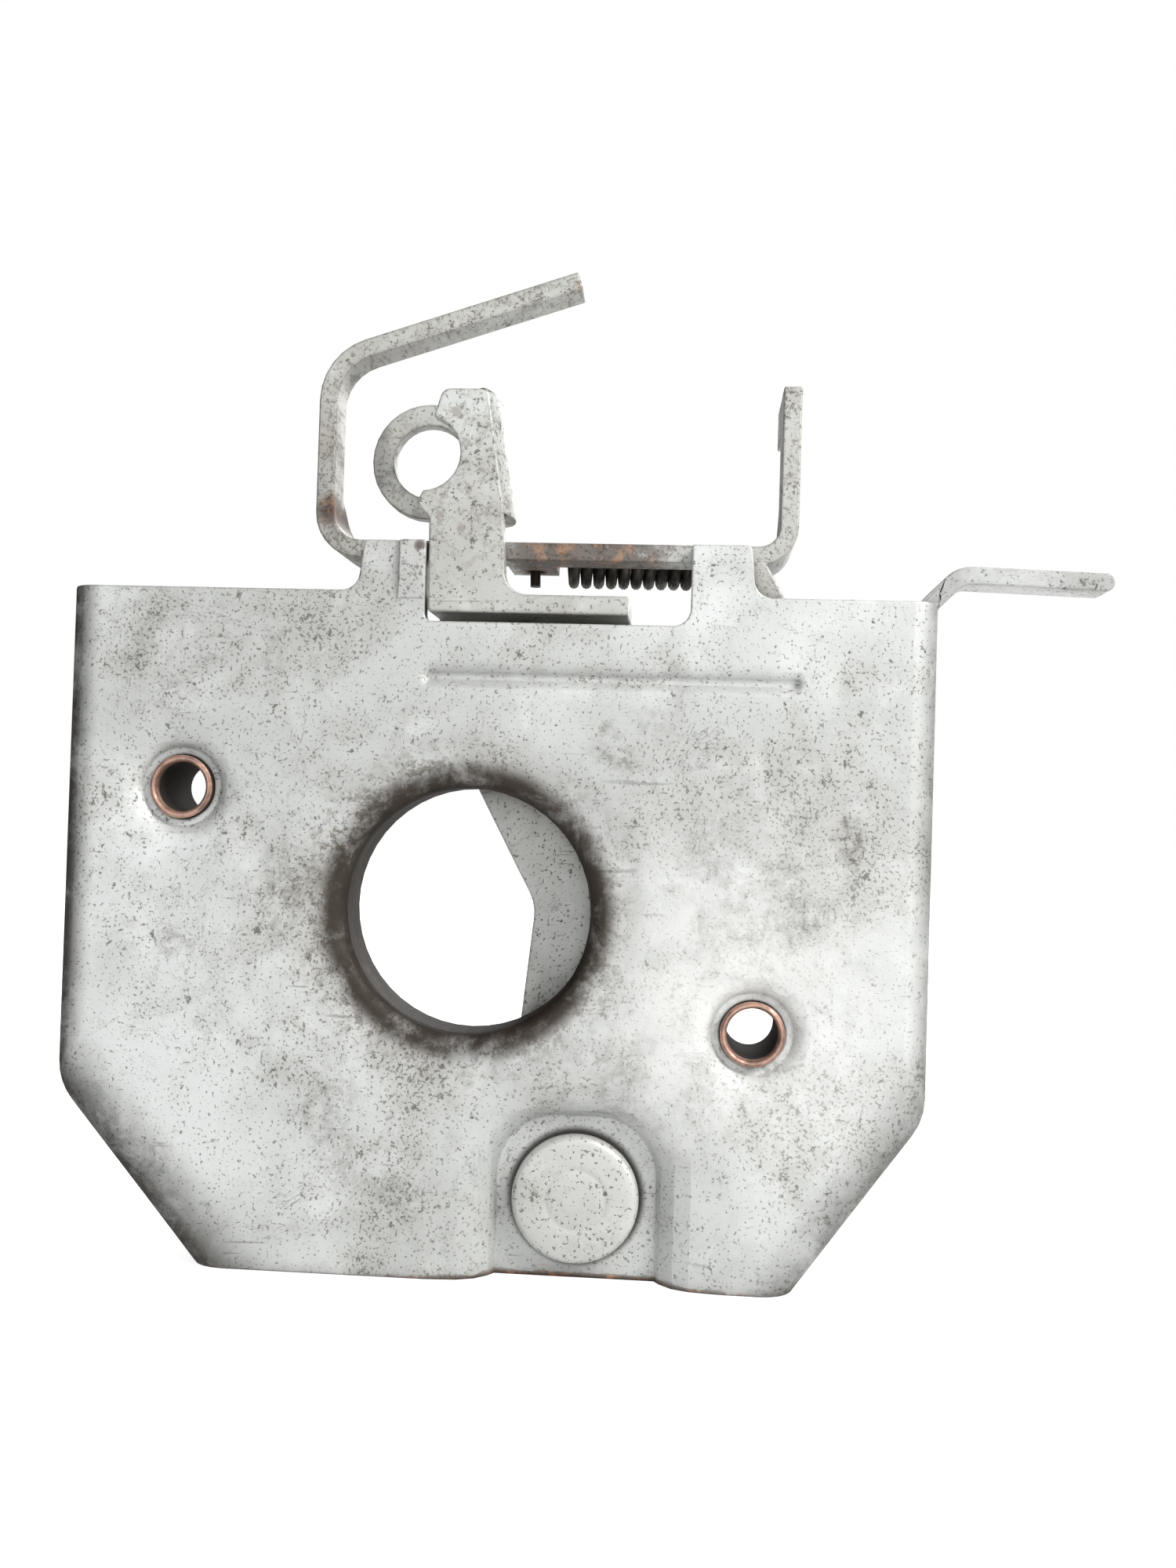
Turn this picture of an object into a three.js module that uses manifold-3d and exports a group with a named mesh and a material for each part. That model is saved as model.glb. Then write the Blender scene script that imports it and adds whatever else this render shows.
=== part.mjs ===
// Bonnet latch, lower half: a pressed steel housing with a round striker hole, a guard
// bracket with a hook arm and a cable stop arm, and a sprung catch lever on a rivet.
//
// Millimetres. X runs to the right, Z up, and Y from the front face back into the latch.
// The origin is the centre of the striker hole on the housing's front face.

import * as THREE from 'three';
import { mergeVertices } from 'three/addons/utils/BufferGeometryUtils.js';
import Module from 'manifold-3d';

const wasm = await Module();
wasm.setup();

// ---------------------------------------------------------------- driving dimensions

// Housing pressing
const sheet = 2.3; // housing sheet thickness
const plateWidth = 113.4;
const plateHeight = 88.4;
const holeOffset = 2.6; // the striker hole sits this far left of the middle
const plateLeft = holeOffset - plateWidth / 2;
const plateRight = holeOffset + plateWidth / 2;
const plateBottom = -47.2; // from the striker hole's centre, clear of the pivot's recess
const plateTop = plateBottom + plateHeight;
const leftChamferTop = plateBottom + 22.7; // where the left edge turns into its chamfer
const leftChamferFoot = plateLeft + 19.4; // where that chamfer meets the bottom edge
const rightChamferTop = plateBottom + 22.7;
const rightChamferFoot = plateRight - 16.4;
const cornerRadius = 8.0;
const insideBend = 1.0; // inside radius of the folded edges
const flangeDepth = 15.0; // front face to the flanges' free edges

// Striker hole
const throatRadius = 15.9;
const mouthRadius = throatRadius + 2.1;
const collarDepth = 9.3;

// Slot and tabs in the top edge
const slotLeft = -6.6;
const slotRight = plateRight - 31.6;
const slotBottom = plateTop - 3.8;
const slotCorner = 2.2; // right corner, clear of the shelf
const slotStopCorner = 0.9; // left corner, where the shelf rests close
const leftTabWidth = 9.0;
const rightTabWidth = 8.2;
const tabTop = plateTop + 6.6;
const tabFillet = 2.4;
const stopStripWidth = 3.5; // raised strip beside the slot that the lever rests against
const stopStripHeight = 5.6;
const stopStripProud = 0.7;
const stopStripRamp = 2.8; // height over which the strip rises out of the tab
const joggleHeight = 2.4; // the right tab's top, set forward
const joggleProud = 0.5;
const joggleRamp = 3.2;

// Stiffening bead
const beadLeft = -6.0;
const beadRight = plateRight - 17.9;
const beadHeight = plateTop - 10.9;
const beadWidth = 3.6;
const beadFloorWidth = 0.8;
const beadDepth = 1.0;

// Mounting bushes, and the pivot that the right one clears
const pivot = { x: 15.0, z: plateBottom + 10.6 };
const bushLeft = { x: plateLeft + 15.7, z: 15.0 };
const bushRight = { x: pivot.x + 22.1, z: pivot.z + 22.2 };
const bushBore = 6.6; // clears an M6 bolt
const bushNeck = bushBore + 1.7;
const bushBody = bushBore + 4.8;
const bushInset = 0.9; // front face of the housing to the bush's front rim
const dimpleRadius = bushBody / 2 + 1.7;
const dimpleDepth = 1.6;

// Pivot
const rivetShank = 8.0;
const rivetHead = rivetShank + 8.4;
const rivetHeadThickness = 2.1;
const rearHead = rivetShank + 5.0;
const rearHeadThickness = 2.4;
const recessWidth = rivetHead + 4.2;
const recessTop = pivot.z + 10.4;
const recessDepth = 3.5;
const recessSlope = 4.5;
const washerThickness = 1.4;
const washerDiameter = rivetShank + 9.0;
const waveThickness = 0.8;
const waveDiameter = rivetShank + 7.0;

// Catch lever
const leverSheet = 2.4;
const leverGap = 0.3; // collar to lever
const pullRoom = 8.4; // how much wider the slot is than the shelf
const shelfWidth = slotRight - slotLeft - pullRoom;
const shelfLift = 1.2; // slot bottom to shelf, which dips as the lever is pulled
const limbWidth = 9.4;
const eyeRadius = 4.9;
const eyeRing = 7.8;
const eyeHeight = 21.8; // slot bottom to the cable eye's centre
const clevisGap = 5.0;
const limbGap = 0.1; // limb's back to the bracket strip it passes in front of
const limbProud = leverSheet + limbGap - sheet; // limb's front face ahead of the housing face
const earReach = plateRight - 16.8 - pivot.x; // pivot to the spring ear, across
const earHeight = 4.6; // slot bottom to the ear's top

// Guard bracket
const strip = 2.4; // bracket sheet thickness
const stripBottom = tabTop - 2.0;
const armDepth = 5.3;
const baseDepth = 12.7;
const hookLeft = slotLeft - 15.4;
const hookRise = 24.6; // strip top to the hook's upper bend
const hookSlope = 18.0; // degrees
const hookReach = 35.5;
const stopArmRight = plateRight - 18.0;
const stopArmTop = stripBottom + 23.2;

// Side lug, folded out of the right flange
const lugReach = 21.1;
const lugTop = plateTop + 5.1;
const lugFront = 3.3;
const lugDepth = 6.4;
const lugDrop = 0.6; // the lug falls this much to its tip

// Spring
const springWire = 1.4;
const springDiameter = 6.0;
const springPitch = 1.7;
const springGap = 1.2; // bracket arm to coil
const hookPlay = 0.7; // radial, wire in its hook hole

// Clearances
const running = 0.05; // radial, between turning pieces
const fit = 0.05; // radial, between a fixed piece and its hole
const endFloat = 0.1; // along the pivot

const arcSteps = 32; // sides of a round body
const holeSteps = 48; // sides of the striker hole
const turnStep = Math.PI / 14; // turn between an arc's points
const overcut = 1.0; // how far a cutting body runs past the face it cuts

// ---------------------------------------------------------------- places worked out

const recessFloorBack = recessDepth + sheet;
const leverFront = collarDepth + leverGap;
const leverBack = leverFront + leverSheet;
const shelfBottom = slotBottom + shelfLift;
const shelfTop = shelfBottom + leverSheet;
const shelfLeft = slotLeft + 0.4;
const shelfRight = shelfLeft + shelfWidth;
const limbRight = shelfLeft + limbWidth;
const eye = { x: slotLeft - 0.9, z: slotBottom + eyeHeight };
const clevisTop = eye.z + 8.4;
const clevisLean = 2.4; // the clevis' right side leans left by this much
const foldFoot = slotBottom + 13.8; // where the clevis' fold begins
const limbFoot = 6.0; // how far the limb's foot spreads along the shelf
const stripTop = stripBottom + strip;
const stripFront = sheet;
const armBack = stripFront + armDepth;
const baseBack = stripFront + baseDepth;
const footBottom = slotBottom - 3.8;
const footGap = 0.6; // slot's side to the bracket's foot
const leftTabLeft = slotLeft - leftTabWidth;
const rightTabRight = slotRight + rightTabWidth;

// ---------------------------------------------------------------- solids and shapes

// A geometry as a solid: shared corners merged, slivers dropped, faces outwards.
function solid(geometry) {
  const bare = geometry.clone();
  bare.deleteAttribute('normal');
  bare.deleteAttribute('uv');
  const merged = mergeVertices(bare, 1e-4);
  const place = merged.getAttribute('position');
  const corners = merged.index.array;
  const triangles = [];
  let volume = 0;
  const a = new THREE.Vector3();
  const b = new THREE.Vector3();
  const c = new THREE.Vector3();
  for (let i = 0; i < corners.length; i += 3) {
    const [p, q, r] = [corners[i], corners[i + 1], corners[i + 2]];
    if (p === q || q === r || r === p) continue;
    triangles.push(p, q, r);
    a.fromBufferAttribute(place, p);
    b.fromBufferAttribute(place, q);
    c.fromBufferAttribute(place, r);
    volume += a.dot(b.cross(c));
  }
  if (volume < 0) triangles.reverse();
  const mesh = new wasm.Mesh({
    numProp: 3,
    vertProperties: new Float32Array(place.array),
    triVerts: new Uint32Array(triangles),
  });
  mesh.merge();
  return new wasm.Manifold(mesh);
}

function toGeometry(body) {
  const mesh = body.getMesh();
  const geometry = new THREE.BufferGeometry();
  geometry.setAttribute('position', new THREE.BufferAttribute(mesh.vertProperties, 3));
  geometry.setIndex(new THREE.BufferAttribute(mesh.triVerts, 1));
  geometry.computeVertexNormals();
  return geometry;
}

function box(x0, x1, y0, y1, z0, z1) {
  const geometry = new THREE.BoxGeometry(x1 - x0, y1 - y0, z1 - z0);
  geometry.translate((x0 + x1) / 2, (y0 + y1) / 2, (z0 + z1) / 2);
  return solid(geometry);
}

// An outline from corners [x, z, radius], each rounded by its radius. An arc has a point for
// each step of turn, so a slight bend gets few.
function outline(corners) {
  const points = [];
  const count = corners.length;
  corners.forEach(([x, z, radius = 0], i) => {
    const [px, pz] = corners[(i + count - 1) % count];
    const [nx, nz] = corners[(i + 1) % count];
    const here = new THREE.Vector2(x, z);
    const back = new THREE.Vector2(px, pz).sub(here).normalize();
    const ahead = new THREE.Vector2(nx, nz).sub(here).normalize();
    const half = Math.acos(THREE.MathUtils.clamp(back.dot(ahead), -1, 1)) / 2;
    const turn = Math.PI - half * 2;
    if (radius === 0 || turn < turnStep / 2) {
      points.push(here);
      return;
    }
    const middle = back.clone().add(ahead).normalize();
    const centre = here.clone().addScaledVector(middle, radius / Math.sin(half));
    const start = here.clone().addScaledVector(back, radius / Math.tan(half)).sub(centre);
    const steps = Math.ceil(turn / turnStep);
    const way = back.cross(ahead) > 0 ? -1 : 1;
    for (let k = 0; k <= steps; k += 1) {
      const arm = start.clone().rotateAround(new THREE.Vector2(), (way * turn * k) / steps);
      points.push(arm.add(centre));
    }
  });
  const apart = points.filter((point, i) => point.distanceTo(points.at(i - 1)) > 1e-3);
  return new THREE.Shape(apart);
}

// An X-Z outline given depth from y0 to y1.
function slab(shape, y0, y1) {
  const geometry = new THREE.ExtrudeGeometry(shape, { depth: y1 - y0, bevelEnabled: false });
  geometry.rotateX(Math.PI / 2).translate(0, y1, 0);
  return solid(geometry);
}

// An X-Z outline whose near edge is worked inwards by size over the first depth.
function bevelledSlab(shape, y0, y1, size, depth, steps) {
  const geometry = new THREE.ExtrudeGeometry(shape, {
    depth: y1 - y0 - depth,
    bevelEnabled: true,
    bevelSize: size,
    bevelThickness: depth,
    bevelOffset: -size,
    bevelSegments: steps,
  });
  geometry.rotateX(Math.PI / 2).translate(0, y1, 0);
  return solid(geometry);
}

// A Y-Z outline given width from x0 to x1.
function sideSlab(corners, x0, x1) {
  const shape = new THREE.Shape(corners.map(([y, z]) => new THREE.Vector2(y, z)));
  const geometry = new THREE.ExtrudeGeometry(shape, { depth: x1 - x0, bevelEnabled: false });
  geometry.applyMatrix4(new THREE.Matrix4().makeBasis(
    new THREE.Vector3(0, 1, 0),
    new THREE.Vector3(0, 0, 1),
    new THREE.Vector3(1, 0, 0),
  ));
  geometry.translate(x0, 0, 0);
  return solid(geometry);
}

// A body turned about a Y axis through x, z from corners [radius, y].
function turned(corners, x = 0, z = 0, steps = arcSteps) {
  const profile = [...corners, corners[0]].map(([radius, y]) => new THREE.Vector2(radius, y));
  const geometry = new THREE.LatheGeometry(profile, steps);
  geometry.translate(x, 0, z);
  return solid(geometry);
}

function disc(radius, y0, y1, x = 0, z = 0, steps = arcSteps) {
  return turned([[0, y0], [radius, y0], [radius, y1], [0, y1]], x, z, steps);
}

function ring(inner, outer, y0, y1, x = 0, z = 0) {
  return turned([[inner, y0], [outer, y0], [outer, y1], [inner, y1]], x, z);
}

// Corners moved inwards by distance, for an outline that runs anticlockwise.
function inset(corners, distance) {
  const count = corners.length;
  const edge = (i) => {
    const [ax, az] = corners[i % count];
    const [bx, bz] = corners[(i + 1) % count];
    const length = Math.hypot(bx - ax, bz - az);
    const normal = [-(bz - az) / length, (bx - ax) / length];
    return { x: ax + normal[0] * distance, z: az + normal[1] * distance, dx: bx - ax, dz: bz - az };
  };
  return corners.map(([, , radius = 0], i) => {
    const before = edge(i + count - 1);
    const after = edge(i);
    const cross = before.dx * after.dz - before.dz * after.dx;
    const along = ((after.x - before.x) * after.dz - (after.z - before.z) * after.dx) / cross;
    const x = before.x + before.dx * along;
    const z = before.z + before.dz * along;
    return [x, z, Math.max(radius - distance, 0)];
  });
}

// A bent strip's outline: one side follows the points [x, z, radius], the other is offset to
// the left of travel by thickness, with each bend's radius grown or shrunk to match.
function bentStrip(points, thickness) {
  const last = points.length - 1;
  const side = points.map(([x, z, radius = 0], i) => {
    const before = i > 0 ? direction(points[i - 1], points[i]) : null;
    const after = i < last ? direction(points[i], points[i + 1]) : null;
    const into = before ?? after;
    const out = after ?? before;
    const turn = into[0] * out[1] - into[1] * out[0];
    const along = 1 + into[0] * out[0] + into[1] * out[1];
    const nx = -(into[1] + out[1]) / along;
    const nz = (into[0] + out[0]) / along;
    const grown = turn > 0 ? radius - thickness : radius + thickness;
    return [x + nx * thickness, z + nz * thickness, radius === 0 ? 0 : grown];
  });
  return outline([...points, ...side.reverse()]);
}

function direction([ax, az], [bx, bz]) {
  const length = Math.hypot(bx - ax, bz - az);
  return [(bx - ax) / length, (bz - az) / length];
}

function joined(first, ...others) {
  return others.reduce((body, other) => body.add(other), first);
}

function cut(first, ...others) {
  return others.reduce((body, other) => body.subtract(other), first);
}

// ---------------------------------------------------------------- housing

// The folded edges run straight on past the top and bottom, and are trimmed square there.
function housingCorners() {
  const past = 12;
  const leftRun = (leftChamferFoot - plateLeft) / (leftChamferTop - plateBottom);
  const rightRun = (plateRight - rightChamferFoot) / (rightChamferTop - plateBottom);
  return [
    [leftChamferFoot + leftRun * past, plateBottom - past, 0],
    [rightChamferFoot - rightRun * past, plateBottom - past, 0],
    [plateRight, rightChamferTop, cornerRadius],
    [plateRight, plateTop + past, 0],
    [plateLeft, plateTop + past, 0],
    [plateLeft, leftChamferTop, cornerRadius],
  ];
}

// The side of a pressed hollow as [how far out from the floor, how deep], from the rim down.
function hollowSide(depth, slope) {
  return [[slope, 0], [slope * 0.5, depth * 0.22], [slope * 0.16, depth * 0.65], [0, depth]];
}

// A tapered pocket over a floor of x0 to x1 by z0 to z1 with rounded corners, its rim at y0.
function pocket(floor, y0, depth, slope) {
  const { x0, x1, z0, z1, radius } = floor;
  const side = hollowSide(depth, slope);
  const rim = y0 - overcut;
  const half = [[0, rim], [radius + slope, rim], ...side.map(([out, y]) => [radius + out, y0 + y]),
    [0, y0 + depth]];
  const across = (low, high) => [
    [low - slope, rim],
    ...side.map(([out, y]) => [low - out, y0 + y]),
    ...side.map(([out, y]) => [high + out, y0 + y]).reverse(),
    [high + slope, rim],
  ];
  let body = sideSlab(across(z0, z1).map(([z, y]) => [y, z]), x0 + radius, x1 - radius);
  for (const x of [x0 + radius, x1 - radius]) {
    for (const z of [z0 + radius, z1 - radius]) body = body.add(turned(half, x, z));
  }
  if (z1 - z0 > radius * 2 + 0.01) {
    const shape = new THREE.Shape(across(x0, x1).map(([x, y]) => new THREE.Vector2(x, y)));
    const length = z1 - z0 - radius * 2;
    const upright = new THREE.ExtrudeGeometry(shape, { depth: length, bevelEnabled: false });
    upright.translate(0, 0, z0 + radius);
    body = body.add(solid(upright));
  }
  return body;
}

// A hollow pressed into the sheet: what it takes off the front and adds behind.
function pressing(floor, depth, slope) {
  const spread = sheet / 2;
  const behind = {
    x0: floor.x0 - spread,
    x1: floor.x1 + spread,
    z0: floor.z0 - spread,
    z1: floor.z1 + spread,
    radius: floor.radius + spread,
  };
  return { off: pocket(floor, 0, depth, slope), on: pocket(behind, sheet, depth, slope) };
}

function dimple(at) {
  const radius = bushBody / 2 - 0.5;
  const slope = dimpleRadius - radius;
  const half = (y0, spread) => turned([
    [0, y0 - overcut],
    [radius + spread + slope, y0 - overcut],
    ...hollowSide(dimpleDepth, slope).map(([out, y]) => [radius + spread + out, y0 + y]),
    [0, y0 + dimpleDepth],
  ], at.x, at.z);
  return { off: half(0, 0), on: half(sheet, sheet / 2) };
}

// The sheet drawn inwards round the striker hole: a rounded mouth, then a straight collar.
function collar() {
  const mouth = mouthRadius - throatRadius;
  const steps = 6;
  const profile = [];
  for (let i = 0; i <= steps; i += 1) {
    const angle = (Math.PI / 2) * (i / steps);
    profile.push([mouthRadius - mouth * Math.sin(angle), mouth * (1 - Math.cos(angle))]);
  }
  profile.push([throatRadius, collarDepth], [throatRadius + sheet, collarDepth]);
  for (let i = steps; i >= 0; i -= 1) {
    const angle = (Math.PI / 2) * (i / steps);
    const outer = throatRadius + sheet + insideBend;
    profile.push([outer - insideBend * Math.sin(angle), sheet + insideBend * (1 - Math.cos(angle))]);
  }
  profile.push([mouthRadius + sheet * 2, sheet], [mouthRadius + sheet * 2, 0]);
  return turned(profile, 0, 0, holeSteps);
}

function tabs() {
  const root = plateTop - 3;
  const left = outline([
    [leftTabLeft - tabFillet * 2, root, 0],
    [slotLeft + 1, root, 0],
    [slotLeft + 1, tabTop, 0],
    [leftTabLeft + 0.8, tabTop, 0.8],
    [leftTabLeft, plateTop, tabFillet],
    [leftTabLeft - tabFillet * 2, plateTop, 0],
  ]);
  const right = outline([
    [slotRight - 1, root, 0],
    [rightTabRight + tabFillet * 2, root, 0],
    [rightTabRight + tabFillet * 2, plateTop, 0],
    [rightTabRight, plateTop, tabFillet],
    [rightTabRight - 0.6, tabTop, 0.8],
    [slotRight - 1, tabTop, 0],
  ]);
  const joggle = raised(joggleHeight, joggleRamp, joggleProud, slotRight, rightTabRight + tabFillet);
  const front = slab(right, -joggleProud * 2, sheet).intersect(joggle);
  return joined(slab(left, 0, sheet), slab(right, 0, sheet), front);
}

// Metal standing proud of the front face at a tab's top, over a ramp.
function raised(height, ramp, proud, x0, x1) {
  const foot = tabTop - height;
  return sideSlab([
    [overcut, foot - ramp],
    [0, foot - ramp],
    [-proud, foot],
    [-proud, tabTop],
    [overcut, tabTop],
  ], x0, x1);
}

function stopStrip() {
  const left = slotLeft - stopStripWidth;
  return raised(stopStripHeight, stopStripRamp, stopStripProud, left, slotLeft);
}

// The right flange runs on above the top edge and is folded out into a lug.
function sideLug() {
  const thickness = sheet;
  const points = [
    [plateRight, plateTop - 6, 0],
    [plateRight, plateTop - 0.6, 1.2],
    [plateRight + 3.4, lugTop - thickness, 2.2],
    [plateRight + lugReach, lugTop - thickness - lugDrop, 0],
  ];
  const tip = disc(thickness / 2, lugFront, lugFront + lugDepth);
  const placed = tip.translate([plateRight + lugReach, 0, lugTop - thickness / 2 - lugDrop]);
  return joined(slab(bentStrip(points, thickness), lugFront, lugFront + lugDepth), placed);
}

function housing() {
  const corners = housingCorners();
  const bend = insideBend + sheet;
  const outer = bevelledSlab(outline(corners), 0, flangeDepth + bend * 2, bend, bend, 5);
  const inner = bevelledSlab(outline(inset(corners, sheet)), sheet, flangeDepth + bend * 3,
    insideBend, insideBend, 3);
  const trim = box(plateLeft - 1, plateRight + 1, -1, flangeDepth, plateBottom, plateTop);
  const hollows = [
    pressing(beadFloor(), beadDepth, (beadWidth - beadFloorWidth) / 2),
    dimple(bushLeft),
    dimple(bushRight),
    pressing(recessFloor(), recessDepth, recessSlope),
  ];
  let body = outer.subtract(inner).intersect(trim);
  for (const hollow of hollows) body = body.add(hollow.on.intersect(trim));
  body = body.add(tabs());
  for (const hollow of hollows) body = body.subtract(hollow.off);
  const slot = outline([
    [slotLeft, slotBottom, slotStopCorner],
    [slotRight, slotBottom, slotCorner],
    [slotRight, tabTop + 5, 0],
    [slotLeft, tabTop + 5, 0],
  ]);
  body = cut(
    body,
    slab(slot, -overcut, sheet + overcut),
    disc(mouthRadius + sheet, -overcut, flangeDepth, 0, 0, holeSteps),
    disc(bushNeck / 2 + fit, -overcut, flangeDepth, bushLeft.x, bushLeft.z),
    disc(bushNeck / 2 + fit, -overcut, flangeDepth, bushRight.x, bushRight.z),
    disc(rivetShank / 2 + fit, -overcut, flangeDepth, pivot.x, pivot.z),
  );
  return joined(body, collar(), stopStrip(), sideLug());
}

function beadFloor() {
  const half = beadFloorWidth / 2;
  return { x0: beadLeft, x1: beadRight, z0: beadHeight - half, z1: beadHeight + half, radius: half };
}

function recessFloor() {
  const half = recessWidth / 2;
  return {
    x0: pivot.x - half,
    x1: pivot.x + half,
    z0: plateBottom - half * 2,
    z1: recessTop,
    radius: half * 0.75,
  };
}

// ---------------------------------------------------------------- bushes and pivot

function mountingBush(at) {
  const shoulder = sheet + dimpleDepth;
  return turned([
    [bushBore / 2, bushInset],
    [bushNeck / 2, bushInset],
    [bushNeck / 2, shoulder],
    [bushBody / 2, shoulder],
    [bushBody / 2, flangeDepth],
    [bushBore / 2, flangeDepth],
  ], at.x, at.z);
}

function pivotRivet() {
  const headFront = recessDepth - rivetHeadThickness;
  const stackBack = pivotStackBack();
  return turned([
    [0, headFront],
    [rivetHead / 2 - 0.6, headFront],
    [rivetHead / 2, headFront + 0.6],
    [rivetHead / 2, recessDepth],
    [rivetShank / 2, recessDepth],
    [rivetShank / 2, stackBack],
    [rearHead / 2, stackBack],
    [rearHead / 2, stackBack + rearHeadThickness * 0.5],
    [rearHead / 2 - 2, stackBack + rearHeadThickness],
    [0, stackBack + rearHeadThickness],
  ], pivot.x, pivot.z);
}

function pivotStackBack() {
  return leverBack + endFloat + waveThickness + washerThickness;
}

// A shouldered bush: the wide part spaces the lever off the recess, the narrow part carries it.
function pivotBush() {
  const bore = rivetShank / 2 + fit;
  return turned([
    [bore, recessFloorBack],
    [bearingRadius() + 2.2, recessFloorBack],
    [bearingRadius() + 2.2, leverFront - endFloat],
    [bearingRadius(), leverFront - endFloat],
    [bearingRadius(), leverBack + endFloat],
    [bore, leverBack + endFloat],
  ], pivot.x, pivot.z);
}

function bearingRadius() {
  return rivetShank / 2 + 1.5;
}

function waveWasher() {
  const front = leverBack + endFloat;
  return ring(rivetShank / 2 + fit * 3, waveDiameter / 2, front, front + waveThickness, pivot.x, pivot.z);
}

function pivotWasher() {
  const front = leverBack + endFloat + waveThickness;
  return ring(rivetShank / 2 + fit, washerDiameter / 2, front, front + washerThickness, pivot.x, pivot.z);
}

// ---------------------------------------------------------------- catch lever

// The flat blade behind the collar. Its hollow left edge grips the striker's neck.
function blade() {
  const hub = bearingRadius() + 4.4; // pivot to the blade's foot
  const hubRound = hub - 0.1;
  const shoulder = pivot.z + 8; // where the sides leave the hub
  const waist = { x: pivot.x + 14, z: 6 }; // slight bend in the right side
  const grip = { x: throatRadius * 0.5, z: 0.6 }; // furthest point in on the striker's edge
  const gripTop = slotBottom - 10.4;
  const earX = pivot.x + earReach;
  const earTop = slotBottom + earHeight;
  const ear = springEar();
  const shape = outline([
    [pivot.x - hub, pivot.z - hub, hubRound],
    [pivot.x + hub, pivot.z - hub, hubRound],
    [pivot.x + hub, shoulder, 12],
    [waist.x, waist.z, 30],
    [earX - 2, slotBottom - 9, 8],
    [earX + 3, earTop, 2.5],
    [earX - 4.5, earTop, 2.5],
    [earX - 8, slotBottom - 5, 6],
    [shelfRight, slotBottom - 6, 3],
    [shelfRight, shelfTop - 0.5, 0],
    [shelfLeft, shelfTop - 0.5, 0],
    [shelfLeft, gripTop, 4],
    [grip.x, grip.z, 6],
    [pivot.x - hub, shoulder, 4],
  ]);
  const through = (radius, at, steps) => disc(radius, leverFront - 1, leverBack + 1, at.x, at.z, steps);
  return cut(
    slab(shape, leverFront, leverBack),
    through(bearingRadius() + running, pivot, arcSteps),
    through(springWire / 2 + hookPlay, ear, 16),
  );
}

// The blade's top is folded forward through the slot.
function shelf() {
  const front = -limbProud;
  const bend = leverSheet * 1.4;
  const foot = shelfTop - bend - 0.4; // where the bend meets the flat blade
  const corners = [
    [front, shelfBottom],
    [leverBack - bend, shelfBottom],
    [leverFront, foot],
    [leverBack, foot],
    [leverBack, shelfTop - bend],
    [leverBack - bend * 0.3, shelfTop - bend * 0.3],
    [leverBack - bend, shelfTop],
    [front, shelfTop],
  ];
  return sideSlab(corners, shelfLeft, shelfRight);
}

// The limb rises from the shelf's left end and carries the front half of the cable clevis.
function limb() {
  const jaw = 3.5; // half the width of the eye's open mouth
  const shape = outline([
    [shelfLeft, shelfBottom + 0.2, 0],
    [limbRight + limbFoot, shelfBottom + 0.2, 0],
    [limbRight + limbFoot, shelfTop, 0],
    [limbRight + 0.6, shelfTop, 3],
    [limbRight, foldFoot, 0],
    [limbRight, foldFoot + 1, 0],
    [limbRight - clevisLean, clevisTop, 1],
    [eye.x + 2.4, clevisTop, 1.4],
    [eye.x + 0.9, eye.z + jaw, 0],
    [eye.x + 0.9, eye.z - jaw, 0],
    [eye.x - 0.7, eye.z - 6.6, 0.9],
    [shelfLeft - 0.2, eye.z - 8.4, 0.5],
  ]);
  const hole = disc(eyeRadius, -limbProud - 1, leverSheet + 1, eye.x, eye.z);
  return cut(slab(shape, -limbProud, leverSheet - limbProud), hole);
}

// The sheet folds round the limb's right side and comes back as a ring behind the front half.
function clevisBack() {
  const front = leverSheet - limbProud + clevisGap;
  const back = front + leverSheet;
  const rear = { x: eye.x - 0.4, z: eye.z + 0.5 };
  const plate = outline([
    [eye.x, eye.z - eyeRing + 2.2, 0],
    [limbRight, foldFoot + 2, 0],
    [limbRight - clevisLean, clevisTop, 0],
    [eye.x + 1, eye.z + eyeRing - 0.4, 0],
  ]);
  const flat = joined(slab(plate, front, back), disc(eyeRing, front, back, rear.x, rear.z));
  return cut(flat, disc(eyeRadius, front - 1, back + 1, rear.x, rear.z));
}

function clevisFold() {
  const outerDepth = leverSheet * 2 + clevisGap;
  const root = -1.2; // the fold's ends, inside the two flat halves
  const bulge = 1.9;
  const foot = foldFoot + 0.2;
  const height = clevisTop - foot;
  const lean = (clevisLean - 0.1) / height;
  const inner = bulge - leverSheet;
  const section = new THREE.Shape();
  section.moveTo(root, 0);
  section.bezierCurveTo(bulge, 0, bulge, outerDepth, root, outerDepth);
  section.lineTo(root, outerDepth - leverSheet);
  section.bezierCurveTo(inner, outerDepth - leverSheet, inner, leverSheet, root, leverSheet);
  section.closePath();
  const geometry = new THREE.ExtrudeGeometry(section, {
    depth: height,
    bevelEnabled: false,
    curveSegments: 10,
  });
  const place = new THREE.Matrix4().makeBasis(
    new THREE.Vector3(1, 0, 0),
    new THREE.Vector3(0, 1, 0),
    new THREE.Vector3(-lean, 0, 1),
  );
  geometry.applyMatrix4(place);
  geometry.translate(limbRight, -limbProud, foot);
  return solid(geometry);
}

function catchLever() {
  return joined(blade(), shelf(), limb(), clevisFold(), clevisBack());
}

// ---------------------------------------------------------------- guard bracket

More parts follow.
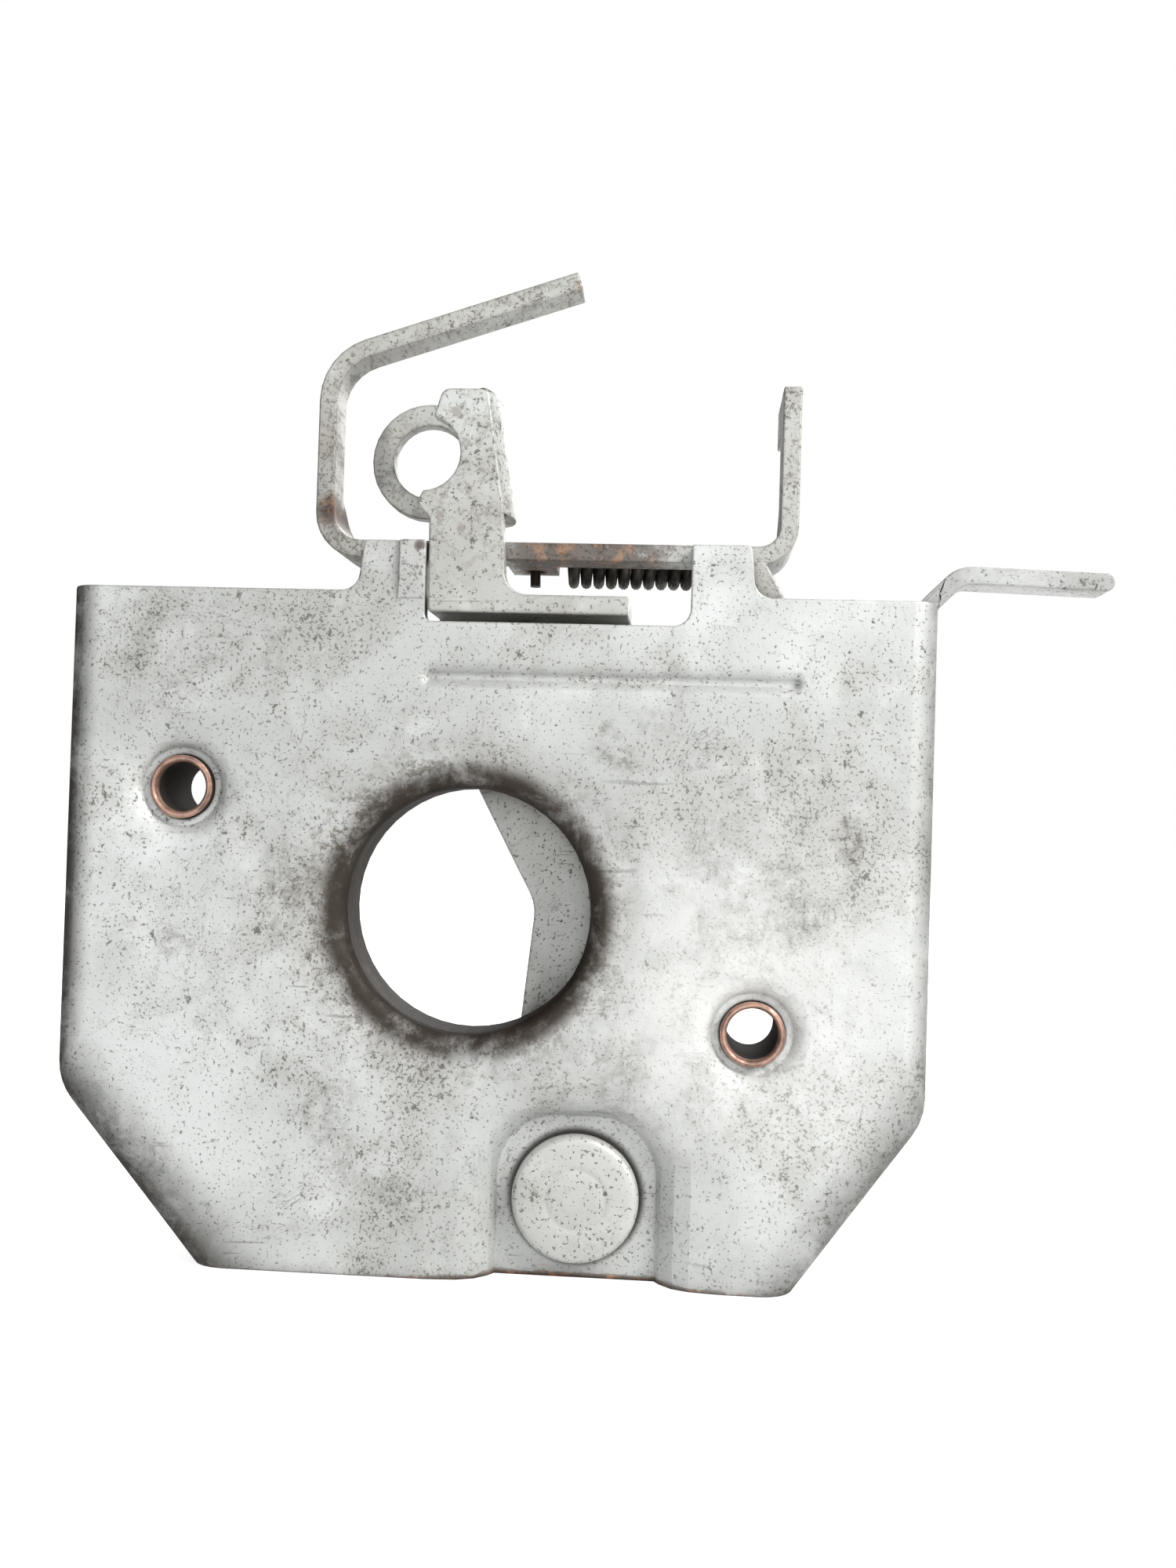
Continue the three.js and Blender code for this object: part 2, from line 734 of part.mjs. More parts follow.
function guardBracket() {
  const slope = THREE.MathUtils.degToRad(hookSlope);
  const bendZ = stripTop + hookRise;
  const path = [
    [hookLeft + Math.cos(slope) * hookReach, bendZ + Math.sin(slope) * hookReach, 0],
    [hookLeft, bendZ, 8.5],
    [hookLeft, stripBottom, 6],
    [stopArmRight, stripBottom, 5],
    [stopArmRight, stopArmTop, 0],
  ];
  const bent = slab(bentStrip(path, strip), stripFront, baseBack);
  const far = baseBack * 4;
  const gussetFall = 0.75; // how steeply the gussets fall from the arms to the base
  const armCut = (foot, x0, x1, top) => sideSlab([
    [armBack, foot],
    [far, foot - (far - armBack) * gussetFall],
    [far, top],
    [armBack, top],
  ], x0, x1);
  const baseCut = box(leftTabLeft + 1.6, rightTabRight + 0.6, armBack, far, stripBottom - 1, stripTop + 1);
  const body = cut(
    bent,
    baseCut,
    armCut(stripTop + 6.4, hookLeft - 5, hookLeft + hookReach + 10, bendZ + hookReach),
    armCut(stripTop + 5.4, stopArmRight - 5, stopArmRight + 5, stopArmTop - 5.4),
  );
  return joined(body, leftFoot(), rightFoot(), springTongue());
}

// Each foot hangs behind a tab of the housing.
function leftFoot() {
  return slab(outline([
    [leftTabLeft + 1, footBottom, 2],
    [slotLeft - footGap, footBottom, 2],
    [slotLeft - footGap, stripTop - 0.5, 0],
    [leftTabLeft + 1, stripTop - 0.5, 0],
  ]), stripFront, stripFront + strip);
}

function rightFoot() {
  const flare = 4.4; // how far the foot's lower part stands out past the tab
  return slab(outline([
    [slotRight + footGap, footBottom, 2],
    [rightTabRight + flare, footBottom, 2],
    [rightTabRight + flare - 0.4, plateTop, 1],
    [rightTabRight + 0.4, stripTop - 0.5, 0],
    [slotRight + footGap, stripTop - 0.5, 0],
  ]), stripFront, stripFront + strip);
}

function springTongue() {
  const hole = tongueHole();
  const body = box(hole.x - 3.4, hole.x + 3, stripFront + 1, hole.y + 2.8, stripBottom, stripTop);
  return cut(body, uprightHole(springWire / 2 + hookPlay, hole.x, hole.y));
}

// A cutting body for an upright round hole.
function uprightHole(radius, x, y) {
  const geometry = new THREE.CylinderGeometry(radius, radius, 30, 20);
  geometry.rotateX(Math.PI / 2).translate(x, y, stripTop);
  return solid(geometry);
}

// ---------------------------------------------------------------- return spring

function springAxis() {
  return { y: armBack + springDiameter / 2 + springGap, z: stripTop + 0.1 + springWire - springDiameter / 2 };
}

// Where the spring hooks into the bracket's tongue, and into the lever's ear.
function tongueHole() {
  return { x: slotLeft + 13.0, y: springAxis().y };
}

function springEar() {
  return { x: pivot.x + earReach - 1.2, z: slotBottom + 2.0 };
}

// A tension coil with a straight leg at each end: the left leg hangs in the bracket's tongue,
// and the right leg runs down to the ear of the catch lever.
function returnSpring() {
  const { y, z } = springAxis();
  const radius = (springDiameter - springWire) / 2;
  const hook = tongueHole();
  const ear = springEar();
  const start = hook.x + 4.4;
  const lead = 7.5; // last coil to the ear
  const turns = Math.floor((ear.x - lead - start) / springPitch) + 0.5;
  const end = start + turns * springPitch;
  const points = [
    new THREE.Vector3(hook.x, y, stripBottom - 2),
    new THREE.Vector3(hook.x, y, stripTop - 0.8),
    new THREE.Vector3(hook.x + 1.2, y, z + radius),
    new THREE.Vector3(hook.x + 3.0, y, z + radius),
  ];
  const steps = 14;
  for (let i = 0; i <= turns * steps; i += 1) {
    const angle = (i / steps) * Math.PI * 2;
    const along = start + (i / steps) * springPitch;
    points.push(new THREE.Vector3(along, y + radius * Math.sin(angle), z + radius * Math.cos(angle)));
  }
  const clear = leverBack + springWire;
  points.push(
    new THREE.Vector3(end + 1.4, y, z - radius - 0.2),
    new THREE.Vector3((end + ear.x) / 2 + 0.6, clear, (z - radius + ear.z) / 2 + 0.6),
    new THREE.Vector3(ear.x - 0.9, clear, ear.z + 1.1),
    new THREE.Vector3(ear.x, leverBack, ear.z),
    new THREE.Vector3(ear.x, leverFront - 1, ear.z),
  );
  const path = new THREE.CatmullRomCurve3(points, false, 'centripetal');
  const section = new THREE.Shape();
  section.absarc(0, 0, springWire / 2, 0, Math.PI * 2, false);
  const geometry = new THREE.ExtrudeGeometry(section, {
    steps: points.length - 1,
    extrudePath: path,
    curveSegments: 4,
    bevelEnabled: false,
  });
  return solid(geometry);
}

// ---------------------------------------------------------------- assembly

const finishes = {
  zinc: { color: 0xc3c7c4, roughness: 0.55, metalness: 0.55 },
  bracket: { color: 0xa9aaa5, roughness: 0.6, metalness: 0.6 },
  lever: { color: 0xb4b6b1, roughness: 0.6, metalness: 0.55 },
  copper: { color: 0x9c6b52, roughness: 0.5, metalness: 0.8 },
  rivet: { color: 0xb9bcba, roughness: 0.5, metalness: 0.6 },
  steel: { color: 0x7d7d7a, roughness: 0.55, metalness: 0.8 },
  spring: { color: 0x33302c, roughness: 0.6, metalness: 0.5 },
};

const latch = new THREE.Group();

function addPiece(name, body, finish) {
  const mesh = new THREE.Mesh(toGeometry(body), new THREE.MeshStandardMaterial(finishes[finish]));
  mesh.name = name;
  latch.add(mesh);
}

addPiece('housing_plate', housing(), 'zinc');
addPiece('guard_bracket', guardBracket(), 'bracket');
addPiece('mounting_bush_left', mountingBush(bushLeft), 'copper');
addPiece('mounting_bush_right', mountingBush(bushRight), 'copper');
addPiece('pivot_rivet', pivotRivet(), 'rivet');
addPiece('pivot_bush', pivotBush(), 'steel');
addPiece('wave_washer', waveWasher(), 'steel');
addPiece('pivot_washer', pivotWasher(), 'steel');
addPiece('catch_lever', catchLever(), 'lever');
addPiece('return_spring', returnSpring(), 'spring');

export default latch;
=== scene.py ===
# Bonnet latch, lower half: worn zinc pressings round a striker hole, a sprung catch lever and a
# guard bracket. Everything is in metres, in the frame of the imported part.

import math

import bpy
from mathutils import Matrix, Vector
from mathutils.bvhtree import BVHTree


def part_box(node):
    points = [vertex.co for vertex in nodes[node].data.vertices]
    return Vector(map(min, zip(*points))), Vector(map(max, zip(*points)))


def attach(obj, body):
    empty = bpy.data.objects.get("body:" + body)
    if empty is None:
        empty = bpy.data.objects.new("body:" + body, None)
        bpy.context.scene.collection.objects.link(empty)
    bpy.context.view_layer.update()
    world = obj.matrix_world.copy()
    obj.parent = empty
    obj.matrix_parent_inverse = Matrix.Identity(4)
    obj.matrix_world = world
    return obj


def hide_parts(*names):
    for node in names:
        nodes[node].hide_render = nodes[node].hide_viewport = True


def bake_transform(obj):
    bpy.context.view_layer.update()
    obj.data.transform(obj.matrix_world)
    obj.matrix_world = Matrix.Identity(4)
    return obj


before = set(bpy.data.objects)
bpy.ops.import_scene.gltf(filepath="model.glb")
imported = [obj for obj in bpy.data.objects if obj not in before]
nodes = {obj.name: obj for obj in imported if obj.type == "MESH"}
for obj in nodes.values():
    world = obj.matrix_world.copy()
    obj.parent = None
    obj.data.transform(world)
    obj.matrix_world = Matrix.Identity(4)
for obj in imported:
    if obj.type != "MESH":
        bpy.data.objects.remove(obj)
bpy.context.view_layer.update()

MM = 0.001

# ------------------------------------------------------------------ places taken from the frame

left_low, left_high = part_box("mounting_bush_left")
right_low, right_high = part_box("mounting_bush_right")
rivet_low, rivet_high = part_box("pivot_rivet")
bush_low, bush_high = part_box("pivot_bush")
washer_low, washer_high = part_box("pivot_washer")
wave_low, wave_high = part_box("wave_washer")
plate_low, plate_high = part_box("housing_plate")

FACE_RIGHT = 59.3 * MM
PIVOT_X = (rivet_low.x + rivet_high.x) / 2
PIVOT_Z = (rivet_low.z + rivet_high.z) / 2
LEFT_BUSH = ((left_low.x + left_high.x) / 2, (left_low.z + left_high.z) / 2)
RIGHT_BUSH = ((right_low.x + right_high.x) / 2, (right_low.z + right_high.z) / 2)


# ------------------------------------------------------------------ tones of the grime, and of the painted shade and highlight

BRIGHT_ZINC = (0.82, 0.83, 0.82, 1)
DUST = (0.23, 0.215, 0.18, 1)
SPECK_TONE = (0.10, 0.095, 0.08, 1)
SCRATCH_TONE = (0.13, 0.125, 0.12, 1)
CORNER_SHADE = (0.075, 0.062, 0.05, 1)
WORN_RIM = (0.16, 0.12, 0.09, 1)
HIGHLIGHT_ZINC = (0.86, 0.865, 0.85, 1)
HALO_BROWN = (0.11, 0.090, 0.066, 1)
LIP_SHADE = (0.038, 0.029, 0.022, 1)
STAIN_TONE = (0.125, 0.112, 0.094, 1)
FOLD_GRIME_AND_SHADE = (0.034, 0.030, 0.024, 1)
RIVET_SHADOW = (0.040, 0.036, 0.032, 1)


# ------------------------------------------------------------------ working on a piece

def deselect():
    if bpy.context.mode != "OBJECT":
        bpy.ops.object.mode_set(mode="OBJECT")
    bpy.ops.object.select_all(action="DESELECT")


def pick(piece):
    deselect()
    piece.select_set(True)
    bpy.context.view_layer.objects.active = piece


def edit(piece, mode="EDGE"):
    pick(piece)
    bpy.ops.object.mode_set(mode="EDIT")
    bpy.ops.mesh.select_mode(type=mode)
    bpy.ops.mesh.select_all(action="DESELECT")


def place_applied(piece):
    pick(piece)
    bpy.ops.object.transform_apply(location=True, rotation=True, scale=True)


def modifier(piece, kind, **settings):
    pick(piece)
    added = piece.modifiers.new(kind.title(), kind)
    for key, value in settings.items():
        setattr(added, key, value)
    bpy.ops.object.modifier_apply(modifier=added.name)


def rounded(piece, width, segments=2, angle=46):
    """Eases the sharp edges. A corner too small for the round is held to the shape it had."""
    deps = bpy.context.evaluated_depsgraph_get()
    before = BVHTree.FromObject(piece, deps)
    modifier(piece, "BEVEL", width=width, segments=segments, limit_method="ANGLE",
             angle_limit=math.radians(angle), use_clamp_overlap=False)
    for vertex in piece.data.vertices:
        nearest, _, _, distance = before.find_nearest(vertex.co)
        if distance > width * 0.5:
            vertex.co = nearest


def shaded(piece, angle=32):
    pick(piece)
    bpy.ops.object.shade_smooth_by_angle(angle=math.radians(angle))
    modifier(piece, "WEIGHTED_NORMAL", mode="FACE_AREA", weight=80, keep_sharp=True)


def outwards(piece):
    edit(piece)
    bpy.ops.mesh.select_all(action="SELECT")
    bpy.ops.mesh.remove_doubles(threshold=1e-6)
    bpy.ops.mesh.normals_make_consistent(inside=False)
    bpy.ops.object.mode_set(mode="OBJECT")


def finished(piece, name, body, node, material):
    piece.name = name
    piece.data.name = name
    piece.data.materials.clear()
    piece.data.materials.append(material)
    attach(piece, body)
    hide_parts(node)
    return piece


def turned(name, profile, x, z, segments=64):
    """A turned piece. Its section of radius and depth corners is spun about the depth axis."""
    deselect()
    bpy.ops.mesh.primitive_circle_add(vertices=len(profile), radius=MM, fill_type="NOTHING")
    piece = bpy.context.active_object
    for vertex, (radius, depth) in zip(piece.data.vertices, profile):
        vertex.co = (radius, depth, 0)
    edit(piece)
    bpy.ops.mesh.select_all(action="SELECT")
    bpy.ops.mesh.spin(steps=segments, angle=math.tau, center=(0, 0, 0), axis=(0, 1, 0))
    bpy.ops.mesh.select_all(action="SELECT")
    bpy.ops.mesh.remove_doubles(threshold=2e-6)
    bpy.ops.mesh.dissolve_degenerate(threshold=1e-6)
    bpy.ops.mesh.normals_make_consistent(inside=False)
    bpy.ops.object.mode_set(mode="OBJECT")
    piece.name = name
    piece.location = (x, 0, z)
    place_applied(piece)
    return piece


def pressing_copy(node):
    """A pressing to be worked on: the node's own shape with its loose faces welded."""
    source = nodes[node]
    deselect()
    piece = source.copy()
    piece.data = source.data.copy()
    for key in list(piece.keys()):
        del piece[key]
    piece.parent = None
    piece.matrix_world = Matrix.Identity(4)
    bpy.context.scene.collection.objects.link(piece)
    edit(piece)
    bpy.ops.mesh.select_all(action="SELECT")
    bpy.ops.mesh.remove_doubles(threshold=3e-6)
    bpy.ops.mesh.dissolve_limited(angle_limit=math.radians(0.6))
    bpy.ops.object.mode_set(mode="OBJECT")
    return piece


def sliced(piece, low, high, step):
    """Cuts the piece's faces along planes across X and across Z, so that they can be bowed."""
    edit(piece)
    for normal, start, end in (((1, 0, 0), low[0], high[0]), ((0, 0, 1), low[1], high[1])):
        count = int((end - start) / step)
        for index in range(1, count):
            at = start + index * step
            bpy.ops.mesh.select_all(action="SELECT")
            bpy.ops.mesh.bisect(plane_co=(at * normal[0], 0, at * normal[2]), plane_no=normal,
                                threshold=1e-6)
    bpy.ops.object.mode_set(mode="OBJECT")


# ------------------------------------------------------------------ shader building

class Tree:
    """A short way to add and join nodes in a material or a group."""

    def __init__(self, tree):
        self.tree = tree
        self.tree.nodes.clear()

    def add(self, kind, inputs=None, **settings):
        node = self.tree.nodes.new(kind)
        for key, value in settings.items():
            setattr(node, key, value)
        for key, value in (inputs or {}).items():
            self.set(node.inputs[key], value)
        return node

    def set(self, socket, value):
        if isinstance(value, bpy.types.NodeSocket):
            self.tree.links.new(value, socket)
        else:
            socket.default_value = value

    def math(self, operation, a, b=0.0, clamp=False):
        node = self.add("ShaderNodeMath", {0: a, 1: b}, operation=operation, use_clamp=clamp)
        return node.outputs[0]

    def mix(self, factor, a, b, blend="MIX"):
        node = self.add("ShaderNodeMix", data_type="RGBA", blend_type=blend, clamp_factor=True)
        self.set(node.inputs[0], factor)
        self.set(node.inputs[6], a)
        self.set(node.inputs[7], b)
        return node.outputs[2]

    def blend(self, factor, a, b):
        node = self.add("ShaderNodeMix", data_type="FLOAT", clamp_factor=True)
        self.set(node.inputs[0], factor)
        self.set(node.inputs[2], a)
        self.set(node.inputs[3], b)
        return node.outputs[0]

    def noise(self, place, scale, detail=4.0, rough=0.55, distortion=0.0):
        node = self.add("ShaderNodeTexNoise", {"Vector": place, "Scale": scale, "Detail": detail,
                                               "Roughness": rough, "Distortion": distortion})
        return node.outputs[0]

    def step(self, value, low, high, to_low=0.0, to_high=1.0):
        node = self.add("ShaderNodeMapRange", {"Value": value, "From Min": low, "From Max": high,
                                               "To Min": to_low, "To Max": to_high},
                        interpolation_type="SMOOTHSTEP", clamp=True)
        return node.outputs[0]

    def place(self, scale=(1, 1, 1), turn=(0, 0, 0), shift=(0, 0, 0)):
        start = self.add("ShaderNodeTexCoord").outputs["Object"]
        node = self.add("ShaderNodeMapping", {"Vector": start, "Scale": scale, "Rotation": turn,
                                              "Location": shift})
        return node.outputs[0]


def group(name, inputs, outputs):
    made = bpy.data.node_groups.new(name, "ShaderNodeTree")
    for label, kind, value in inputs:
        socket = made.interface.new_socket(label, in_out="INPUT", socket_type="NodeSocket" + kind)
        if value is not None:
            socket.default_value = value
    for label, kind in outputs:
        made.interface.new_socket(label, in_out="OUTPUT", socket_type="NodeSocket" + kind)
    tree = Tree(made)
    return made, tree, tree.add("NodeGroupInput"), tree.add("NodeGroupOutput")


def edge_wear_group():
    """Where a rounded corner is worn, broken up by the scuffs along it."""
    made, t, given, out = group(
        "edge wear",
        [("Reach", "Float", 0.0006), ("Breakup", "Float", 0.5)],
        [("Worn", "Float")],
    )
    bent = t.add("ShaderNodeBevel", {"Radius": given.outputs["Reach"]}, samples=6)
    plain = t.add("ShaderNodeNewGeometry").outputs["Normal"]
    dot = t.add("ShaderNodeVectorMath", {0: bent.outputs[0], 1: plain}, operation="DOT_PRODUCT")
    edge = t.step(t.math("SUBTRACT", 1.0, dot.outputs["Value"]), 0.01, 0.12)
    chips = t.noise(t.place(), 420.0, 6.0, 0.65)
    cut = t.math("MULTIPLY", given.outputs["Breakup"], chips)
    worn = t.step(t.math("SUBTRACT", edge, cut), 0.15, 0.55)
    t.set(out.inputs["Worn"], worn)
    return made


def grime_group():
    """Dirt that has settled in patches, with the specks, flecks and scratches that go with it."""
    made, t, given, out = group(
        "grime",
        [("Amount", "Float", 0.5), ("Speck Size", "Float", 2400.0)],
        [("Patches", "Float"), ("Specks", "Float"), ("Hairlines", "Float"), ("Grain", "Float")],
    )
    here = t.place()
    amount = given.outputs["Amount"]
    broad = t.noise(here, 38.0, 5.0, 0.62, 0.6)
    cloud = t.noise(here, 170.0, 6.0, 0.7, 0.4)
    both = t.math("ADD", t.math("MULTIPLY", broad, 0.6), t.math("MULTIPLY", cloud, 0.4))
    patches = t.step(both, 0.45, 0.64)
    lean = t.math("MULTIPLY", t.math("MULTIPLY", patches, amount), 0.10)

    fine = t.noise(here, given.outputs["Speck Size"], 2.0, 0.6)
    specks = t.step(t.math("ADD", fine, lean), 0.605, 0.675)
    coarse = t.noise(here, 760.0, 5.0, 0.72)
    flecks = t.step(t.math("ADD", coarse, lean), 0.625, 0.680)
    spotted = t.math("MAXIMUM", t.math("MULTIPLY", specks, 0.75), flecks)

    wander = t.noise(here, 62.0, 8.0, 0.70, 1.2)
    line = t.step(t.math("ABSOLUTE", t.math("SUBTRACT", wander, 0.5)), 0.0, 0.0045, 1.0, 0.0)
    seen = t.step(t.noise(t.place(shift=(0.4, 0.1, 0.7)), 52.0, 2.0), 0.50, 0.58)
    marks = t.math("MULTIPLY", line, seen)
    scratch_sets = (
        (0.12, (0.2, 0, 0.3), 0.56), (-1.15, (0.7, 0, 0.1), 0.60), (0.9, (0.1, 0, 0.9), 0.61),
    )
    for turn, shift, low in scratch_sets:
        scored = t.noise(t.place(scale=(0.045, 1, 1), turn=(0, turn, 0)), 1500.0, 1.0, 0.5)
        rubbed = t.step(t.noise(t.place(shift=shift), 75.0, 3.0), low, low + 0.06)
        scratch = t.math("MULTIPLY", t.step(scored, 0.68, 0.73, 0.0, 0.6), rubbed)
        marks = t.math("MAXIMUM", marks, scratch)
    t.set(out.inputs["Patches"], patches)
    strength = t.math("ADD", amount, 0.35)
    t.set(out.inputs["Specks"], t.math("MULTIPLY", spotted, strength, clamp=True))
    t.set(out.inputs["Hairlines"], marks)
    t.set(out.inputs["Grain"], t.noise(here, 1800.0, 4.0, 0.7))
    return made


def rust_group():
    """Rust blooms: a mask, and a colour that runs from dark brown to orange."""
    made, t, given, out = group(
        "rust",
        [("Where", "Float", 0.0), ("Spread", "Float", 0.5)],
        [("Mask", "Float"), ("Color", "Color")],
    )
    bloom = t.noise(t.place(), 240.0, 7.0, 0.72, 0.3)
    level = t.math("SUBTRACT", 1.0, t.math("MULTIPLY", given.outputs["Where"],
                                           given.outputs["Spread"]))
    mask = t.step(t.math("SUBTRACT", bloom, t.math("MULTIPLY", level, 0.72)), -0.04, 0.10)
    tone = t.noise(t.place(shift=(0.1, 0.1, 0.1)), 520.0, 4.0, 0.6)
    color = t.mix(t.step(tone, 0.50, 0.66), (0.048, 0.026, 0.017, 1), (0.25, 0.105, 0.038, 1))
    t.set(out.inputs["Mask"], t.math("MULTIPLY", mask, given.outputs["Where"], clamp=True))
    t.set(out.inputs["Color"], color)
    return made


def hollow_shade_group():
    """Painted shade in corners and where two pieces meet: ambient occlusion, broken up by noise."""
    made, t, given, out = group(
        "hollow shade", [("Reach", "Float", 0.004)], [("Mask", "Float")],
    )
    shade = t.add("ShaderNodeAmbientOcclusion", {"Distance": given.outputs["Reach"]}, samples=6)
    broken = t.noise(t.place(), 300.0, 5.0, 0.65)
    closed = t.math("SUBTRACT", 1.0, shade.outputs["AO"])
    t.set(out.inputs["Mask"], t.step(t.math("MULTIPLY", closed, t.math("ADD", broken, 0.45)),
                                     0.22, 0.75))
    return made


EDGE_WEAR = edge_wear_group()
GRIME = grime_group()
RUST = rust_group()
HOLLOW_SHADE = hollow_shade_group()


def use(t, made, **inputs):
    node = t.add("ShaderNodeGroup", node_tree=made)
    for key, value in inputs.items():
        t.set(node.inputs[key.replace("_", " ")], value)
    return node.outputs


def new_material(name):
    made = bpy.data.materials.new(name)
    made.use_nodes = True
    t = Tree(made.node_tree)
    shader = t.add("ShaderNodeBsdfPrincipled")
    out = t.add("ShaderNodeOutputMaterial")
    t.set(out.inputs["Surface"], shader.outputs["BSDF"])
    return made, t, shader


def raised_detail(t, shader, height, strength, depth):
    bump = t.add("ShaderNodeBump", {"Height": height, "Strength": strength, "Distance": depth})
    t.set(shader.inputs["Normal"], bump.outputs[0])


def spot(t, place, x, z, inner, outer):
    """A mask round a point on the face, full inside one radius and gone by the other."""
    flat = t.add("ShaderNodeVectorMath", {0: place, 1: (1, 0, 1)}, operation="MULTIPLY")
    off = t.add("ShaderNodeVectorMath", {0: flat.outputs[0], 1: (x, 0, z)}, operation="DISTANCE")
    return t.step(off.outputs["Value"], inner, outer, 1.0, 0.0)


def worn_zinc(name, light, dark, amount, speck=2400.0, metal=0.35, rough=(0.46, 0.70),
              rust_on_edges=0.35, extra=None):
    """Weathered zinc, with painted shade in its corners. Each pressing gives its own tones, and may
    add stains and painted light of its own.
    """
    made, t, shader = new_material(name)
    shader.inputs["Specular IOR Level"].default_value = 0.3
    grime = use(t, GRIME, Amount=amount, Speck_Size=speck)
    edge = use(t, EDGE_WEAR, Reach=0.0007, Breakup=0.75)
    occluded = use(t, HOLLOW_SHADE, Reach=0.0035)
    tone = t.noise(t.place(shift=(0.3, 0.2, 0.5)), 22.0, 4.0, 0.55)
    color = t.mix(t.step(tone, 0.36, 0.64), light, dark)
    haze = t.noise(t.place(), 90.0, 5.0, 0.6)
    color = t.mix(t.math("MULTIPLY", t.step(haze, 0.52, 0.72), 0.32), color, BRIGHT_ZINC)
    film = t.math("MULTIPLY", grime["Patches"], amount)
    color = t.mix(t.math("MULTIPLY", film, 0.5), color, DUST)
    color = t.mix(t.math("MULTIPLY", grime["Specks"], 0.85), color, SPECK_TONE)
    color = t.mix(t.math("MULTIPLY", grime["Hairlines"], 0.72), color, SCRATCH_TONE)
    # Painted shade in corners and joints, from ambient occlusion.
    color = t.mix(t.math("MULTIPLY", occluded["Mask"], 0.75), color, CORNER_SHADE)
    masks = {"rust": 0.0, "dirt_and_shade": 0.0}
    if extra:
        color, masks = extra(t, color, masks)
    rim = t.math("MULTIPLY", edge["Worn"], rust_on_edges)
    color = t.mix(rim, color, WORN_RIM)
    rust = use(t, RUST, Where=t.math("MAXIMUM", masks["rust"], t.math("MULTIPLY", rim, 0.8)),
               Spread=0.75)
    color = t.mix(rust["Mask"], color, rust["Color"])
    t.set(shader.inputs["Base Color"], color)
    soiled = t.math("MAXIMUM", t.math("MAXIMUM", film, grime["Specks"]), rust["Mask"])
    t.set(shader.inputs["Roughness"], t.blend(t.math("MAXIMUM", soiled, masks["dirt_and_shade"]), rough[0],
                                              rough[1]))
    t.set(shader.inputs["Metallic"], t.blend(t.math("MAXIMUM", soiled, masks["dirt_and_shade"]), metal, 0.08))
    height = t.math("SUBTRACT", t.math("MULTIPLY", grime["Grain"], 0.5),
                    t.math("MULTIPLY", t.math("MAXIMUM", grime["Hairlines"], grime["Specks"]), 0.6))
    height = t.math("ADD", height, t.math("MULTIPLY", haze, 1.2))
    raised_detail(t, shader, height, 0.55, 0.00009)
    return made


